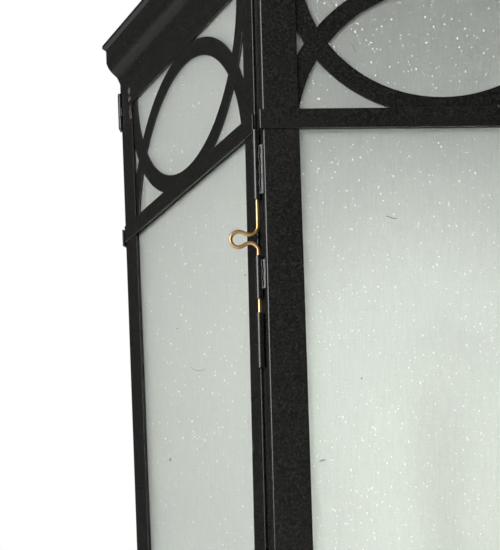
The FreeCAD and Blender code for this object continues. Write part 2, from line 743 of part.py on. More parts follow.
def post_cup():
    """The cup that slips over the post, with a flange under the base."""
    outer = [(CUP_BORE_R, 0), (CUP_R + 2.0, 0), (CUP_BEAD_R, 2.0), (CUP_BEAD_R, CUP_BEAD_T - 2.0)]
    outer += [(CUP_R + 2.0, CUP_BEAD_T), (CUP_R, CUP_BEAD_T + 3.0), (CUP_R, CUP_TOP_Z - 10.0)]
    outer += [(CUP_R + 3.0, CUP_TOP_Z - 4.0), (CUP_FLANGE_R, CUP_TOP_Z)]
    outer += [(CUP_FLANGE_R, CUP_TOP_Z + CUP_FLANGE_T), (0, CUP_TOP_Z + CUP_FLANGE_T)]
    outer += [(0, CUP_WEB_Z), (CUP_RECESS_R, CUP_WEB_Z), (CUP_RECESS_R, CUP_DEPTH)]
    outer += [(CUP_BORE_R, CUP_DEPTH)]
    cup = turned(outer).cut(rod(NIPPLE_HOLE_R, 0, 0, 0, 2.0 * CUP_TOP_Z))
    hole = Part.makeCylinder(SCREW_HOLE_R, 2.0 * CUP_R, V(0, 0, SCREW_Z), V(0, -1, 0))
    for cutter in around(hole, SCREW_COUNT):
        cup = cup.cut(cutter)
    return cup


def cup_screws():
    """Round-headed clamp screws in the wall of the cup."""
    start = CUP_BORE_R + 0.3
    length = CUP_R + SCREW_NECK - start
    shank = Part.makeCylinder(SCREW_R, length, V(0, -start, SCREW_Z), V(0, -1, 0))
    head = Part.makeCylinder(SCREW_HEAD_R, SCREW_HEAD_T, V(0, -start - length, SCREW_Z), V(0, -1, 0))
    rim = [edge for edge in head.Edges if edge.BoundBox.YMax < -start - length - SCREW_HEAD_T + 0.1]
    return around(head.makeFillet(1.5, rim).fuse(shank), SCREW_COUNT)


# --- lamp cluster ----------------------------------------------------------

def nipple():
    """The threaded pipe that holds cup, base and cluster together."""
    pipe = rod(NIPPLE_R, 0, 0, NIPPLE_FOOT_Z, NIPPLE_TOP_Z)
    return pipe.cut(rod(NIPPLE_BORE_R, 0, 0, 0, 2.0 * NIPPLE_TOP_Z))


def lock_nuts():
    """Nuts under the cup's web and over the base."""
    low = nut(CUP_WEB_Z - NUT_T)
    high = nut(BASE_Z + WASHER_T)
    return [low, high]


def washer():
    """The washer between the upper nut and the base."""
    ring = rod(WASHER_R, 0, 0, BASE_Z, BASE_Z + WASHER_T)
    return ring.cut(rod(NIPPLE_HOLE_R, 0, 0, 0, 2.0 * BASE_Z))


def hub():
    """The hollow body that gathers the arms."""
    profile = [(0, HUB_FOOT_Z), (HUB_R - 4.0, HUB_FOOT_Z), (HUB_R, HUB_FOOT_Z + 5.0)]
    profile += [(HUB_R, HUB_TOP_Z - 4.0), (HUB_R - 4.0, HUB_TOP_Z), (4.0, HUB_TOP_Z + 3.0)]
    profile += [(4.0, HUB_TOP_Z + 9.0), (0, HUB_TOP_Z + 11.0)]
    body = turned(profile)
    body = body.cut(rod(NIPPLE_HOLE_R, 0, 0, 0, HUB_ROOM_LOW + 1.0))
    body = body.cut(rod(HUB_ROOM_R, 0, 0, HUB_ROOM_LOW, HUB_ROOM_TOP))
    hole = Part.makeCylinder(ARM_R + 0.3, HUB_R + 5.0, V(0, 0, ARM_Z), V(0, -1, 0))
    for cutter in around(hole, ARM_COUNT):
        body = body.cut(cutter)
    return body


def bent_path(start_y, foot_z, reach, top_z):
    """An L-shaped path: out from the axis, round a bend, and up."""
    corner = V(0, -reach, foot_z)
    centre = corner + V(0, ARM_BEND, ARM_BEND)
    slant = ARM_BEND * math.sqrt(0.5)
    first = V(0, -reach + ARM_BEND, foot_z)
    second = centre + V(0, -slant, -slant)
    third = V(0, -reach, foot_z + ARM_BEND)
    edges = [Part.makeLine(V(0, -start_y, foot_z), first)]
    edges.append(Part.Arc(first, second, third).toShape())
    edges.append(Part.makeLine(third, V(0, -reach, top_z)))
    return Part.Wire(edges)


def swept(path, radius, point, normal):
    """A round section carried along a path."""
    return path.makePipeShell([Part.Wire(Part.makeCircle(radius, point, normal))], True, True)


def arms():
    """Bent tubes from the hub to each candle."""
    start = HUB_R - 2.5
    outer = swept(bent_path(start, ARM_Z, ARM_REACH, ARM_TOP_Z), ARM_R, V(0, -start, ARM_Z), V(0, -1, 0))
    inner = swept(bent_path(start, ARM_Z, ARM_REACH, ARM_TOP_Z), ARM_BORE_R, V(0, -start, ARM_Z), V(0, -1, 0))
    return around(outer.cut(inner), ARM_COUNT)


def dishes():
    """The drip dish at the foot of each candle."""
    low = ARM_TOP_Z
    profile = [(ARM_BORE_R, low), (DISH_R - 6.0, low), (DISH_R, low + DISH_RISE)]
    profile += [(DISH_R - DISH_SHEET, low + DISH_RISE), (DISH_R - 6.5, low + DISH_SHEET)]
    profile += [(ARM_BORE_R, low + DISH_SHEET)]
    dish = turned(profile)
    dish.translate(V(0, -ARM_REACH, 0))
    return around(dish, ARM_COUNT)


def sleeves():
    """The candle-shaped sleeves that stand in the dishes."""
    low = SLEEVE_FOOT_Z
    sleeve = rod(SLEEVE_R, 0, -ARM_REACH, low, SLEEVE_TOP_Z)
    bore = rod(SLEEVE_R - SLEEVE_WALL, 0, -ARM_REACH, low - 1.0, SLEEVE_TOP_Z + 1.0)
    return around(sleeve.cut(bore), ARM_COUNT)


def holders():
    """A lampholder on a hollow stud inside each sleeve."""
    shell = rod(HOLDER_R, 0, -ARM_REACH, HOLDER_FOOT_Z, HOLDER_TOP_Z)
    shell = shell.cut(rod(HOLDER_BORE_R, 0, -ARM_REACH, HOLDER_FOOT_Z + HOLDER_WEB, HOLDER_TOP_Z + 1.0))
    stud = rod(STUD_R, 0, -ARM_REACH, SLEEVE_FOOT_Z, HOLDER_FOOT_Z)
    holder = shell.fuse(stud)
    return around(holder.cut(rod(STUD_BORE_R, 0, -ARM_REACH, 0, HOLDER_TOP_Z)), ARM_COUNT)


def bulbs():
    """Candle lamps, their caps inside the lampholders."""
    low = BULB_BASE_Z
    neck = HOLDER_TOP_Z + 1.0
    cap = rod(BULB_BASE_R, 0, 0, low, neck)
    curve = Part.BSplineCurve()
    outline = [V(BULB_COLLAR_R, 0, neck), V(BULB_R - 3.0, 0, neck + 0.45 * BULB_BELLY)]
    outline += [V(BULB_R, 0, neck + BULB_BELLY), V(BULB_R * 0.55, 0, neck + 0.82 * BULB_HEIGHT)]
    outline += [V(0, 0, neck + BULB_HEIGHT)]
    curve.interpolate(outline)
    edges = [Part.makeLine(V(0, 0, neck), outline[0]), curve.toShape()]
    edges.append(Part.makeLine(outline[-1], V(0, 0, neck)))
    glass = Part.Face(Part.Wire(edges)).revolve(V(0, 0, 0), V(0, 0, 1), 360.0)
    bulb = glass.fuse(cap)
    bulb.translate(V(0, -ARM_REACH, 0))
    return around(bulb, ARM_COUNT)


def leads():
    """A lead from each lampholder through its arm and down the pipe."""
    bend = 3.0
    turn = V(0, -LEAD_SPREAD, ARM_Z)
    centre = turn + V(0, -bend, -bend)
    slant = bend * math.sqrt(0.5)
    first = turn + V(0, 0, -bend)
    second = centre + V(0, slant, slant)
    third = turn + V(0, -bend, 0)
    corner = V(0, -ARM_REACH, ARM_Z)
    elbow = corner + V(0, ARM_BEND, ARM_BEND)
    sweep = ARM_BEND * math.sqrt(0.5)
    fourth = corner + V(0, ARM_BEND, 0)
    fifth = elbow + V(0, -sweep, -sweep)
    sixth = corner + V(0, 0, ARM_BEND)
    edges = [Part.makeLine(V(0, -LEAD_SPREAD, LEAD_FOOT_Z), first)]
    edges.append(Part.Arc(first, second, third).toShape())
    edges.append(Part.makeLine(third, fourth))
    edges.append(Part.Arc(fourth, fifth, sixth).toShape())
    edges.append(Part.makeLine(sixth, V(0, -ARM_REACH, LEAD_TOP_Z)))
    path = Part.Wire(edges)
    lead = swept(path, LEAD_R, V(0, -LEAD_SPREAD, LEAD_FOOT_Z), V(0, 0, 1))
    return around(lead, ARM_COUNT)


def ground_screw():
    """The earth screw in the floor of the lantern."""
    shank = rod(M4_R, 60.0, 0, BASE_Z - 6.0, BASE_Z)
    head = hexagon(M4_HEAD_R, BASE_Z, BASE_Z + 3.0)
    head.translate(V(60.0, 0, 0))
    return head.fuse(shank)


# --- assembly --------------------------------------------------------------

def nodes():
    """Every node: its name and its solid or list of solids."""
    door = DOOR_FACE
    table = {
        "corner_angles": corner_angles(),
        "stiles": stiles(),
        "head_rails": on_faces(rail(HEAD_V, TOP_V, SHEET), FIXED_FACES),
        "sill_rails": on_faces(rail(SILL_V, SILL_V + SILL_RAIL, SHEET), FIXED_FACES),
        "head_bars": ring_bars(TOP_V - RING_BAR, TOP_V),
        "sill_bars": ring_bars(SILL_V, SILL_V + RING_BAR),
        "band_straps": on_faces(band_strap(STRAP_END), FIXED_FACES),
        "tracery_plates": on_faces(tracery(FIXED_ARCHES, SHEET, BACKING_INNER), FIXED_FACES),
        "backing_strips": [p for s in backing_strips(SHEET, BACKING_INNER) for p in on_faces(s, FIXED_FACES)],
        "upper_panes": on_faces(pane(UPPER_PANE_V, PANE_TOP_V, SHEET), FIXED_FACES),
        "lower_panes": on_faces(pane(BACKING_FOOT_V, LOWER_PANE_V, SHEET), FIXED_FACES),
        "pane_retainers": [p for s in retainers(SHEET) for p in on_faces(s, FIXED_FACES)],
        "door_frame": door_frame(),
        "door_band_strap": stand_up(band_strap(DOOR_EDGE), door),
        "door_tracery_plate": stand_up(tracery(DOOR_ARCHES, DOOR_SHEET, DOOR_BACKING_NEAR), door),
        "door_backing_strips": [stand_up(s, door) for s in backing_strips(DOOR_SHEET, DOOR_BACKING_NEAR)],
        "door_upper_pane": stand_up(pane(UPPER_PANE_V, PANE_TOP_V, DOOR_SHEET), door),
        "door_lower_pane": stand_up(pane(BACKING_FOOT_V, LOWER_PANE_V, DOOR_SHEET), door),
        "door_retainers": [stand_up(s, door) for s in retainers(DOOR_SHEET)],
        "latch_tubes": latch_tubes(),
        "latch_keeper": latch_keeper(),
        "latch_pin": latch_pin(),
        "frame_knuckles": frame_knuckles(),
        "door_knuckles": door_knuckles(),
        "hinge_pins": hinge_pins(),
        "cornice_lengths": cornice_lengths(),
        "roof_panels": roof_panels(),
        "hip_ribs": hip_ribs(),
        "vent_collar": vent_collar(),
        "vent_cap": vent_cap(),
        "finial": finial(),
        "eave_screws": eave_screws(),
        "base_plate": base_plate(),
        "base_pan": base_pan(),
        "post_cup": post_cup(),
        "cup_screws": cup_screws(),
        "cluster_pipe": nipple(),
        "lock_nuts": lock_nuts(),
        "lock_washer": washer(),
        "cluster_hub": hub(),
        "cluster_arms": arms(),
        "drip_dishes": dishes(),
        "candle_sleeves": sleeves(),
        "lampholders": holders(),
        "candle_lamps": bulbs(),
        "lamp_leads": leads(),
        "ground_screw": ground_screw(),
    }
    return table


def write_parts():
    """Write one STEP file per node."""
    os.makedirs("parts", exist_ok=True)
    for name, content in nodes().items():
        solids = []
        for shape in content if isinstance(content, list) else [content]:
            solids.extend(shape.Solids)
        shape = solids[0] if len(solids) == 1 else Part.makeCompound(solids)
        shape.exportStep("parts/" + name + ".step")


write_parts()
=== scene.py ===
"""Looks of a hexagonal post top lantern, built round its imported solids.

Every length in the classes below is in millimetres, and goes to metres when a
mesh is made. A face of the body is described flat: u runs across it, v runs up
it from the lower edge of the band, and depth runs inwards from the stiles.
"""

from __future__ import annotations

import json
import logging
import math
from dataclasses import dataclass
from enum import Enum

import bmesh
import bpy
import numpy as np
from mathutils import Matrix, Vector

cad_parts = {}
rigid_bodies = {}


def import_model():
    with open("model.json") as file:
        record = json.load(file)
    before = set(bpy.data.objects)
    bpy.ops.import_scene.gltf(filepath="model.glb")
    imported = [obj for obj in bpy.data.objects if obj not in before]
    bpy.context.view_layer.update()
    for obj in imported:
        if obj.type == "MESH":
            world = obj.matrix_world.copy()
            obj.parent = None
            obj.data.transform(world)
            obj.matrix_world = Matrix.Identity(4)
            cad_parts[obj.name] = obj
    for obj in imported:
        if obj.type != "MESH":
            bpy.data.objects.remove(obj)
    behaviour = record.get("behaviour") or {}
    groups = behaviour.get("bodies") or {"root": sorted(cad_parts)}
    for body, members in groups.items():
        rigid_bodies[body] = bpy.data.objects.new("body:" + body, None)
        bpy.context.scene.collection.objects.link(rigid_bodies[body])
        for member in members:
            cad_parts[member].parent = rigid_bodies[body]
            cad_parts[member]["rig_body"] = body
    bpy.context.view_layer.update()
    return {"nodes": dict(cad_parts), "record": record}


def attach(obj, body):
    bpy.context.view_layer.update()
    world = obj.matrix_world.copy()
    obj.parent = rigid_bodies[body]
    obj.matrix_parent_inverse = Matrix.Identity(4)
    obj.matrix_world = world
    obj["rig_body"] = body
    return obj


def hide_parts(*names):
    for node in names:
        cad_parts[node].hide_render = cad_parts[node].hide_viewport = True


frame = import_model()

LOG = logging.getLogger("lantern")
MM = 0.001
Span = tuple[float, float]
Triple = tuple[float, float, float]
Mesh = tuple[np.ndarray, np.ndarray]


# --- shader helpers ------------------------------------------------------------


def linear(code: str) -> tuple[float, float, float, float]:
    """Turn an sRGB hex colour to the linear values a shader takes.

    Args:
        code: six hex digits after a hash.

    Returns:
        Linear red, green and blue, and an alpha of 1.
    """
    parts = [int(code[at : at + 2], 16) / 255.0 for at in (1, 3, 5)]
    parts = [p / 12.92 if p <= 0.04045 else ((p + 0.055) / 1.055) ** 2.4 for p in parts]
    return (*parts, 1.0)


def add_node(
    tree: bpy.types.NodeTree,
    kind: str,
    settings: dict | None = None,
    links: dict | None = None,
) -> bpy.types.Node:
    """Add one shader node with its settings and incoming links.

    Args:
        tree: the node tree that takes it.
        kind: Blender's name of the node type.
        settings: attribute or input names with their values.
        links: input names with the output socket that feeds each.

    Returns:
        The new node.
    """
    node = tree.nodes.new(kind)
    for key, value in (settings or {}).items():
        if isinstance(key, str) and hasattr(node, key):
            setattr(node, key, value)
        else:
            node.inputs[key].default_value = value
    for key, socket in (links or {}).items():
        tree.links.new(socket, node.inputs[key])
    return node


def feed(tree: bpy.types.NodeTree, node: bpy.types.Node, values: dict) -> None:
    """Give a node its inputs, a link for a socket and a set value for a number.

    Args:
        tree: the node's tree.
        node: the node that takes them.
        values: input names or numbers with a socket or a value for each.
    """
    for key, value in values.items():
        if isinstance(value, bpy.types.NodeSocket):
            tree.links.new(value, node.inputs[key])
        else:
            node.inputs[key].default_value = value


def new_material(name: str) -> tuple[bpy.types.Material, bpy.types.NodeTree, bpy.types.Node]:
    """Start a node material.

    Args:
        name: the material's name.

    Returns:
        The material, its tree, and its surface shader, already on the output.
    """
    material = bpy.data.materials.new(name)
    material.use_nodes = True
    tree = material.node_tree
    tree.nodes.clear()
    shader = add_node(tree, "ShaderNodeBsdfPrincipled")
    add_node(tree, "ShaderNodeOutputMaterial", links={"Surface": shader.outputs[0]})
    return material, tree, shader


def object_pattern(tree: bpy.types.NodeTree, stretch: Triple = (1, 1, 1)) -> bpy.types.NodeSocket:
    """Object coordinates, stretched.

    Args:
        tree: the material's tree.
        stretch: factor along each axis.

    Returns:
        The socket that carries them.
    """
    place = add_node(tree, "ShaderNodeTexCoord").outputs["Object"]
    return add_node(tree, "ShaderNodeMapping", {"Scale": stretch}, {"Vector": place}).outputs[0]


def noise(
    tree: bpy.types.NodeTree,
    place: bpy.types.NodeSocket,
    size_mm: float,
    detail: float,
    roughness: float = 0.5,
) -> bpy.types.NodeSocket:
    """Noise with features of a size in millimetres: its scale is the number of them in a metre.

    Args:
        tree: the material's tree.
        place: the coordinates.
        size_mm: the features' real size.
        detail: how many finer layers it has.
        roughness: how strong each finer layer is.

    Returns:
        The noise, from 0 to 1.
    """
    settings = {"Scale": 1.0 / (size_mm * MM), "Detail": detail, "Roughness": roughness}
    return add_node(tree, "ShaderNodeTexNoise", settings, {"Vector": place}).outputs[0]


def remap(
    tree: bpy.types.NodeTree,
    value: bpy.types.NodeSocket,
    start: Span = (0.0, 1.0),
    end: Span = (0.0, 1.0),
    kind: str = "LINEAR",
) -> bpy.types.NodeSocket:
    """Carry a value from one range to another, held at its ends.

    Args:
        tree: the material's tree.
        value: the value.
        start: the range that it comes from.
        end: the range that it goes to.
        kind: the way between the ends.

    Returns:
        The new value.
    """
    settings = {"interpolation_type": kind}
    settings |= {"From Min": start[0], "From Max": start[1], "To Min": end[0], "To Max": end[1]}
    return add_node(tree, "ShaderNodeMapRange", settings, {"Value": value}).outputs[0]


def blend(
    tree: bpy.types.NodeTree, share: bpy.types.NodeSocket, first: str, second: str
) -> bpy.types.NodeSocket:
    """Mix two sRGB colours, the second by a share."""
    settings = {"data_type": "RGBA", 6: linear(first), 7: linear(second)}
    return add_node(tree, "ShaderNodeMix", settings, {0: share}).outputs[2]


def raised(
    tree: bpy.types.NodeTree, height: bpy.types.NodeSocket, strength: float, depth_mm: float
) -> bpy.types.NodeSocket:
    """The normal of a surface that a pattern raises."""
    settings = {"Strength": strength, "Distance": depth_mm * MM}
    return add_node(tree, "ShaderNodeBump", settings, {"Height": height}).outputs[0]


def maths(
    tree: bpy.types.NodeTree, operation: str, *values: bpy.types.NodeSocket | float
) -> bpy.types.NodeSocket:
    """One sum on sockets or numbers.

    Args:
        tree: the tree.
        operation: Blender's name of the sum.
        values: what goes into it, in order.

    Returns:
        The result.
    """
    node = add_node(tree, "ShaderNodeMath", {"operation": operation})
    feed(tree, node, dict(enumerate(values)))
    return node.outputs[0]


# --- mesh helpers --------------------------------------------------------------


def make_object(
    name: str,
    points: np.ndarray,
    faces: np.ndarray,
    material: bpy.types.Material,
    smooth: bool = True,
) -> bpy.types.Object:
    """Put computed points and faces into a mesh object at the origin.

    Args:
        name: the piece's name.
        points: (n, 3) places in millimetres.
        faces: (m, k) point numbers, anticlockwise from outside.
        material: the finish.
        smooth: whether the faces are shaded smooth.

    Returns:
        The object, linked to the scene.
    """
    mesh = bpy.data.meshes.new(name)
    mesh.from_pydata((points * MM).tolist(), [], faces.tolist())
    mesh.polygons.foreach_set("use_smooth", np.full(len(faces), smooth))
    mesh.materials.append(material)
    mesh.update()
    piece = bpy.data.objects.new(name, mesh)
    bpy.context.scene.collection.objects.link(piece)
    return piece


def join(parts: list[Mesh]) -> Mesh:
    """Put several meshes into one.

    Args:
        parts: points and faces of each.

    Returns:
        All points, and all faces with their point numbers moved on.
    """
    starts = np.cumsum([0] + [len(points) for points, _ in parts[:-1]])
    points = np.concatenate([points for points, _ in parts])
    return points, np.concatenate([faces + start for (_, faces), start in zip(parts, starts)])


def tube_faces(rings: int, sides: int) -> np.ndarray:
    """Triangles of a tube whose rings of points are numbered one after another.

    The quad between ring i and i + 1 and sides j and j + 1 is split in two,
    and each end ring is closed by a fan from its own first point.

    Args:
        rings: how many rings.
        sides: points in each ring.

    Returns:
        (m, 3) point numbers.
    """
    i, j = np.meshgrid(np.arange(rings - 1), np.arange(sides), indexing="ij")
    a = i * sides + j
    b = i * sides + (j + 1) % sides
    quads = np.stack([a, b, b + sides, a + sides], axis=-1).reshape(-1, 4)
    walls = np.concatenate([quads[:, [0, 1, 2]], quads[:, [0, 2, 3]]])
    fan = np.arange(1, sides - 1)
    foot = np.stack([np.zeros_like(fan), fan + 1, fan], axis=-1)
    head = np.stack([np.zeros_like(fan), fan, fan + 1], axis=-1) + (rings - 1) * sides
    return np.concatenate([walls, foot, head])


def carry(path: np.ndarray, radius: np.ndarray, sides: int) -> Mesh:
    """Carry a round section along a path that lies nearly in one plane.

    At each point the tangent is the central difference of the path. The
    section's first axis is the plane's normal, and the second is the tangent
    crossed with it. A ring is radius times cosine along one axis plus radius
    times sine along the other.

    Args:
        path: (n, 3) points.
        radius: (n,) radius at each point.
        sides: points round the section.

    Returns:
        Points and triangles of the closed tube.
    """
    tangent = np.gradient(path, axis=0)
    tangent /= np.linalg.norm(tangent, axis=1, keepdims=True)
    spread = path - path.mean(axis=0)
    normal = np.linalg.svd(spread, full_matrices=False)[2][-1]
    first = normal - tangent * (tangent @ normal)[:, None]
    first /= np.linalg.norm(first, axis=1, keepdims=True)
    second = np.cross(tangent, first)
    turn = np.linspace(0.0, 2.0 * math.pi, sides, endpoint=False)
    ring = first[:, None] * np.cos(turn)[None, :, None] + second[:, None] * np.sin(turn)[None, :, None]
    points = path[:, None] + ring * radius[:, None, None]
    return points.reshape(-1, 3), tube_faces(len(path), sides)


# --- finishes ------------------------------------------------------------------


@dataclass(frozen=True)
class PowderCoat:
    """Fine-textured black powder coat on mild steel, sprayed and baked.

    To the eye it is a dark satin with a pebble grain that sparkles where light
    grazes it. The real grain is about 0.3 mm, and is drawn larger so that it
    shows at this distance. The clouds are where the spray lies thicker.
    """

    name: str = "black_powder_coat"
    low: str = "#050504"
    high: str = "#262623"
    grain_mm: float = 1.3
    tone: Span = (0.42, 0.72)
    height_mm: float = 0.06
    bump: float = 0.75
    cloud_mm: float = 60.0
    cloud: Span = (0.3, 0.7)
    gloss: Span = (0.25, 0.29)

    def build(self) -> bpy.types.Material:
        """Make the material."""
        material, tree, shader = new_material(self.name)
        place = object_pattern(tree)
        grain = noise(tree, place, self.grain_mm, detail=3.0, roughness=0.62)
        cloud = noise(tree, place, self.cloud_mm, detail=2.0)
        finish = {
            "Base Color": blend(tree, remap(tree, grain, self.tone), self.low, self.high),
            "Roughness": remap(tree, cloud, self.cloud, self.gloss),
            "Normal": raised(tree, grain, self.bump, self.height_mm),
        }
        feed(tree, shader, finish)
        return material


@dataclass(frozen=True)
class FrostedGlass:
    """Drawn soda-lime sheet, etched on its faces.

    It scatters what is behind it into a pale grey-green, with fine specks and
    faint upright lines from the drawing. The small third factor of stretch
    makes the lines long up the sheet.
    """

    name: str = "frosted_drawn_glass"
    tint: str = "#E5E9E4"
    deep: str = "#D5D9D3"
    roughness: float = 0.58
    passing: float = 0.8
    refraction: float = 1.5
    line_mm: float = 1.3
    stretch: Triple = (1.0, 1.0, 0.03)
    speck_mm: float = 1.0
    speck_share: float = 0.6
    tone: Span = (0.35, 0.65)
    bump: float = 0.2
    height_mm: float = 0.1

    def build(self) -> bpy.types.Material:
        """Make the material."""
        material, tree, shader = new_material(self.name)
        lines = noise(tree, object_pattern(tree, self.stretch), self.line_mm, detail=4.0)
        specks = noise(tree, object_pattern(tree), self.speck_mm, detail=2.0)
        settings = {"data_type": "FLOAT", 0: self.speck_share}
        both = add_node(tree, "ShaderNodeMix", settings, {2: lines, 3: specks}).outputs[0]
        finish = {
            "Base Color": blend(tree, remap(tree, both, self.tone), self.tint, self.deep),
            "Normal": raised(tree, lines, self.bump, self.height_mm),
            "Roughness": self.roughness,
            "Transmission Weight": self.passing,
            "IOR": self.refraction,
        }
        feed(tree, shader, finish)
        return material


@dataclass(frozen=True)
class SeedGlass:
    """The clear skin over a bubble that reached the sheet's surface.

    It is fire-polished and gathers light from all round, so it shows as a
    small bright point. That point is painted light: the skin glows by itself
    with a little emission, a painted glint for the light it would gather.
    """

    name: str = "seed_glass"
    tint: str = "#FBFDFB"
    # strength of the painted glow, a painted glint that stands for gathered light
    painted_glow: float = 0.3
    passing: float = 0.3
    refraction: float = 1.5
    cloud_mm: float = 6.0
    roughness: Span = (0.38, 0.5)

    def build(self) -> bpy.types.Material:
        """Make the material."""
        material, tree, shader = new_material(self.name)
        cloud = noise(tree, object_pattern(tree), self.cloud_mm, detail=1.0)
        finish = {
            "Roughness": remap(tree, cloud, end=self.roughness),
            "Base Color": linear(self.tint),
            "Transmission Weight": self.passing,
            "IOR": self.refraction,
            # painted glint: the seed glows by itself with this emission, though it is no lamp
            "Emission Color": linear(self.tint),
            "Emission Strength": self.painted_glow,
        }
        feed(tree, shader, finish)
        return material


@dataclass(frozen=True)
class DrawnMetal:
    """Bare or plated metal that was drawn or turned, with fine lines and slight stains."""

    name: str
    bright: str
    dull: str
    roughness: Span
    line_mm: float = 0.5
    stain_mm: float = 7.0
    stain: Span = (0.4, 0.68)
    bump: float = 0.15
    height_mm: float = 0.03

    def build(self) -> bpy.types.Material:
        """Make the material."""
        material, tree, shader = new_material(self.name)
        place = object_pattern(tree)
        lines = noise(tree, place, self.line_mm, detail=2.0)
        stain = noise(tree, place, self.stain_mm, detail=3.0)
        finish = {
            "Base Color": blend(tree, remap(tree, stain, self.stain), self.bright, self.dull),
            "Roughness": remap(tree, lines, end=self.roughness),
            "Normal": raised(tree, lines, self.bump, self.height_mm),
            "Metallic": 1.0,
        }
        feed(tree, shader, finish)
        return material


@dataclass(frozen=True)
class Moulding:
    """Moulded plastic, paint, lamp glass or a grey inclusion: one colour with clouding and grain."""

    name: str
    colour: str
    shade: str
    roughness: float
    grain_mm: float = 0.8
    passing: float = 0.0
    spread: float = 0.06
    cloud_mm: float = 25.0
    bump: float = 0.2
    height_mm: float = 0.04

    def build(self) -> bpy.types.Material:
        """Make the material."""
        material, tree, shader = new_material(self.name)
        place = object_pattern(tree)
        grain = noise(tree, place, self.grain_mm, detail=2.0)
        cloud = noise(tree, place, self.cloud_mm, detail=3.0)
        gloss = (self.roughness - self.spread, self.roughness + self.spread)
        finish = {
            "Base Color": blend(tree, cloud, self.colour, self.shade),
            "Roughness": remap(tree, grain, end=gloss),
            "Normal": raised(tree, grain, self.bump, self.height_mm),
            "Transmission Weight": self.passing,
        }
        feed(tree, shader, finish)
        return material


class Coat(Enum):
    """The lantern's finishes, by the record's material slot."""

    black_coat = PowderCoat()
    frosted_glass = FrostedGlass()
    brass_wire = DrawnMetal("drawn_brass_wire", "#C9A273", "#98713F", (0.22, 0.4))
    zinc_steel = DrawnMetal("zinc_plated_steel", "#B9BABD", "#96979A", (0.3, 0.48))
    ivory_plastic = Moulding("ivory_polycarbonate_sleeve", "#E9E1C8", "#DDD3B6", 0.42)
    black_plastic = Moulding("moulded_phenolic_lampholder", "#1A1A1A", "#222222", 0.38)
    lamp_glass = Moulding("blown_lamp_glass", "#FBFAF6", "#F4F2EC", 0.12, 4.0, 0.92)
    lead_jacket = Moulding("pvc_lead_jacket", "#C8C2B4", "#BDB6A6", 0.5)
    green_steel = Moulding("green_lacquered_steel", "#1E7A3C", "#1A6A35", 0.35)


# --- the body's plan -----------------------------------------------------------


@dataclass(frozen=True)
class FacePlan:
    """Where a flat drawing of a face stands on the tapered hexagon."""

    side: float = 229.0
    lean: float = math.radians(4.232)
    band_z: float = 490.0
    door_face: int = 5
    sheet: float = 1.6
    door_sheet: float = 1.2

    @property
    def apothem(self) -> float:
        """Distance from the axis to a face at the band."""
        return self.side / 2.0 / math.tan(math.radians(30.0))

    @property
    def edge_rate(self) -> float:
        """How much half a face widens for each millimetre up it."""
        return math.tan(math.radians(30.0)) * math.sin(self.lean)

    def half_width(self, v: np.ndarray | float) -> np.ndarray | float:
        """Half the face's width at height v."""
        return self.side / 2.0 + self.edge_rate * v

    def place(self, u: np.ndarray, v: np.ndarray, depth: np.ndarray, face: int) -> np.ndarray:
        """Turn flat face coordinates to places on the body.

        The drawing leans back by the face's lean, stands at the apothem in
        front of the axis, and turns 60 degrees for each face number.

        Args:
            u: distance across.
            v: distance up the face.
            depth: distance inwards.
            face: the face's number, 0 in front.

        Returns:
            (..., 3) places in millimetres.
        """
        u, v, depth = np.broadcast_arrays(u, v, depth)
        y = -self.apothem - v * math.sin(self.lean) + depth * math.cos(self.lean)
        z = self.band_z + v * math.cos(self.lean) + depth * math.sin(self.lean)
        turn = math.radians(60.0 * face)
        x = u * math.cos(turn) - y * math.sin(turn)
        return np.stack([x, u * math.sin(turn) + y * math.cos(turn), z], axis=-1)

    def at_corner(self, a: float, depth: float, v: np.ndarray, side: int, face: int) -> np.ndarray:
        """Places at a distance a from a corner of a face."""
        v = np.asarray(v, float)
        return self.place(side * (self.half_width(v) - a), v, np.full_like(v, depth), face)

    def is_door(self, face: int) -> bool:
        """Whether a face is the door."""
        return face == self.door_face

    def body(self, face: int) -> str:
        """The CAD body that a face belongs to."""
        return "door" if self.is_door(face) else "lantern"

    def glass_depth(self, face: int) -> float:
        """Depth of the panes' outer surface, two sheets behind the front."""
        return 2.0 * (self.door_sheet if self.is_door(face) else self.sheet)


# --- pieces --------------------------------------------------------------------


